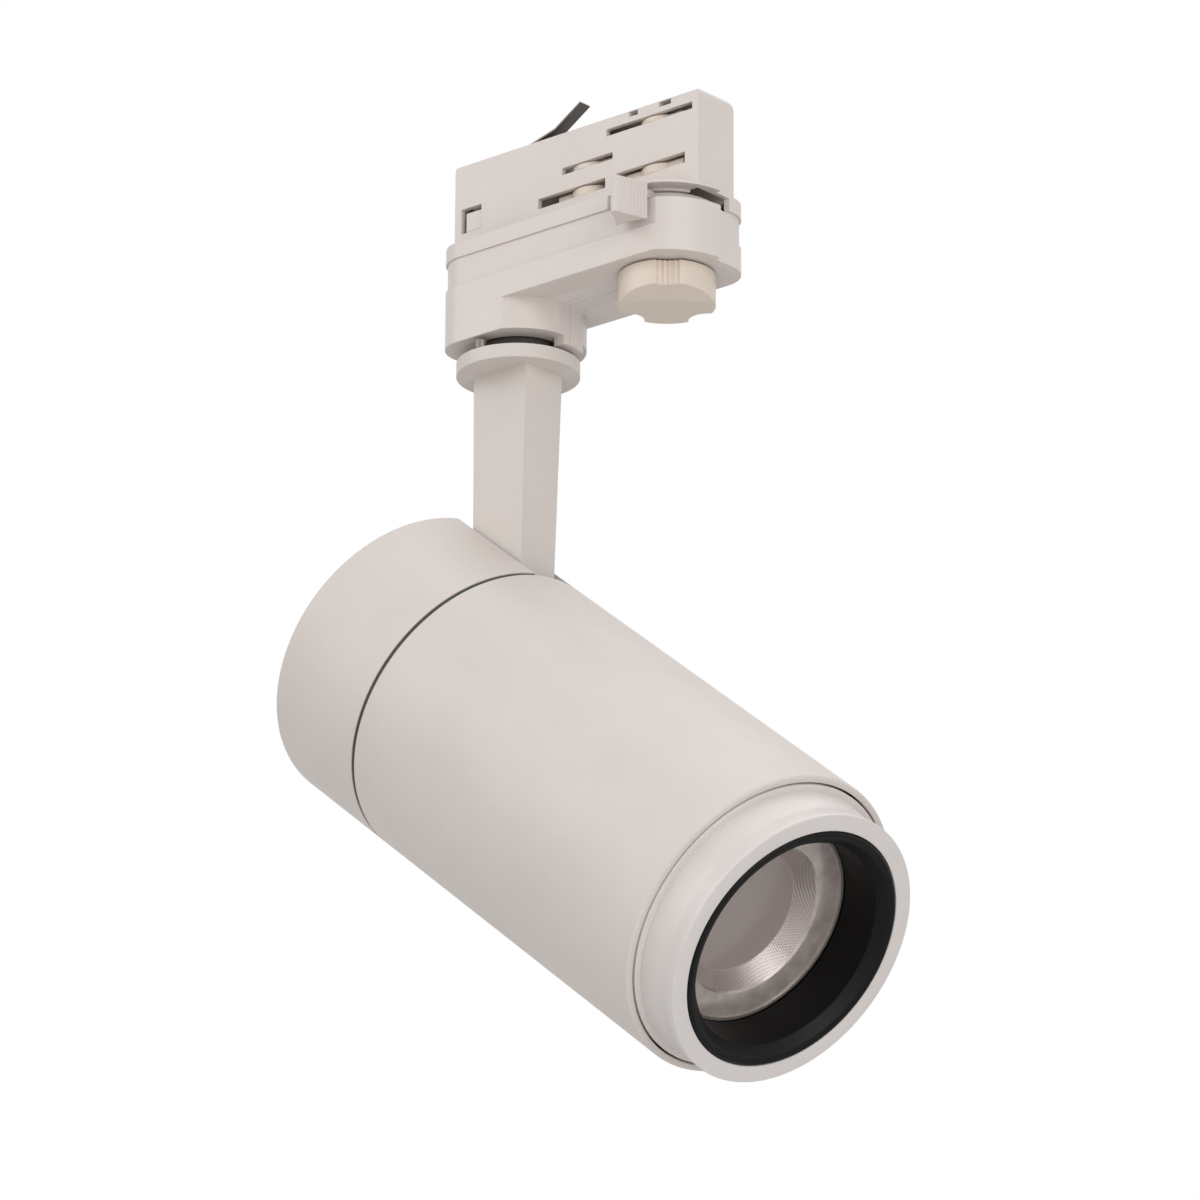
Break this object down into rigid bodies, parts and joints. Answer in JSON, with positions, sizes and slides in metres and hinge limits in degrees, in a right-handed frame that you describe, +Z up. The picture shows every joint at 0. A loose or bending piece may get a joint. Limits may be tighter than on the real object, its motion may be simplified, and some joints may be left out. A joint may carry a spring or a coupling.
{
  "type": "track spotlight",
  "caption": "Three-circuit track spotlight with a plug-in adapter, swivelling arm, tilting cylindrical head and a zoom ring that moves the lens.",
  "frame": {"origin": "centre of the adapter's flange, on the flat top face that bears on the track", "axes": "+Z up into the track, along the plug's height; +X along the track, from the swivel end towards the lever and knob end, the way the head points; -Y is the side the lever tab stands out of"},
  "size_m": [0.201, 0.0922, 0.3067],
  "materials": {
    "white_plastic": "semi-gloss moulded white",
    "cream_plastic": "semi-gloss moulded cream",
    "dark_plastic": "matte dark grey",
    "black_plastic": "satin black",
    "dark_washer": "matte dark fibre and rubber",
    "spring_steel": "dark blued steel",
    "zinc_steel": "zinc plated",
    "contact_brass": "bare",
    "wire_insulation": "smooth insulation",
    "coated_aluminium": "fine matte light grey-white powder coat",
    "bare_aluminium": "bare extruded",
    "ring_coat": "satin white paint",
    "dark_metal": "dark anodised",
    "bezel_metal": "satin",
    "board": "solder mask",
    "phosphor": "silicone over phosphor",
    "lens_clear": "clear moulded lens with a fine cell pattern"
  },
  "bodies": {
    "adapter": {"plug_housing": "white_plastic", "contact_carrier": "white_plastic", "earth_spring": "spring_steel", "mid_housing": "white_plastic", "near_lower_shell": "white_plastic", "far_lower_shell": "white_plastic", "shell_screws": "zinc_steel", "terminal_block": "white_plastic", "terminal_screws": "zinc_steel", "supply_wires": "wire_insulation", "detent_spring": "spring_steel", "friction_washers": "dark_washer"},
    "lever": {"lock_lever": "white_plastic", "lock_rotor": "cream_plastic", "lever_gear": "cream_plastic"},
    "rotor": {"circuit_rotor": "cream_plastic", "rotor_gear": "cream_plastic", "circuit_contacts": "contact_brass"},
    "knob": {"circuit_knob": "cream_plastic", "selector_shaft": "cream_plastic", "selector_contact": "cream_plastic"},
    "swivel_arm": {"arm": "coated_aluminium", "arm_wires": "wire_insulation", "nipple": "zinc_steel", "lock_nut": "zinc_steel", "stop_screw": "zinc_steel", "spring_washer": "spring_steel"},
    "head": {"rear_cap": "coated_aluminium", "seam_plate": "dark_plastic", "cap_screws": "zinc_steel", "driver_board": "board", "driver_parts": "dark_plastic", "front_body": "coated_aluminium", "heat_sink": "bare_aluminium", "led_board": "board", "led_emitter": "phosphor", "led_holder": "white_plastic", "holder_screws": "zinc_steel", "guide_sleeve": "dark_metal", "tilt_pin": "zinc_steel", "tilt_nut": "zinc_steel", "tilt_washers": "dark_washer"},
    "focus_ring": {"zoom_ring": "ring_coat", "baffle": "black_plastic", "cam_sleeve": "dark_metal", "ring_screws": "zinc_steel"},
    "lens_group": {"lens_carriage": "black_plastic", "guide_pins": "zinc_steel", "lens": "lens_clear", "lens_ring": "bezel_metal"}
  },
  "joints": [
    {"name": "lever_turn", "type": "hinge", "parent": "adapter", "child": "lever", "pos_m": [0.0289, 0, 0], "axis": [0, 0, 1], "range_deg": [0, 80]},
    {"name": "rotor_turn", "type": "hinge", "parent": "adapter", "child": "rotor", "pos_m": [0.0023, 0, 0], "axis": [0, 0, 1], "range_deg": [-80, 0]},
    {"name": "knob_turn", "type": "hinge", "parent": "adapter", "child": "knob", "pos_m": [0.0289, 0, 0], "axis": [0, 0, 1], "range_deg": [-80, 80]},
    {"name": "pan", "type": "hinge", "parent": "adapter", "child": "swivel_arm", "pos_m": [-0.0287, 0, -0.0356], "axis": [0, 0, 1], "range_deg": [-240, 75]},
    {"name": "tilt", "type": "hinge", "parent": "swivel_arm", "child": "head", "pos_m": [-0.0287, 0, -0.106], "axis": [0, 1, 0], "range_deg": [-38, 52]},
    {"name": "ring_turn", "type": "hinge", "parent": "head", "child": "focus_ring", "pos_m": [0.06327, 0, -0.2238], "axis": [0.788, 0, -0.6157], "range_deg": [0, 90]},
    {"name": "lens_slide", "type": "slide", "parent": "head", "child": "lens_group", "axis": [0.788, 0, -0.6157], "range_m": [-0.022, 0]}
  ],
  "couplings": [
    {"joint": "rotor_turn", "follows": "lever_turn", "ratio": -1},
    {"joint": "lens_slide", "follows": "ring_turn", "m_per_rad": -0.014006}
  ]
}
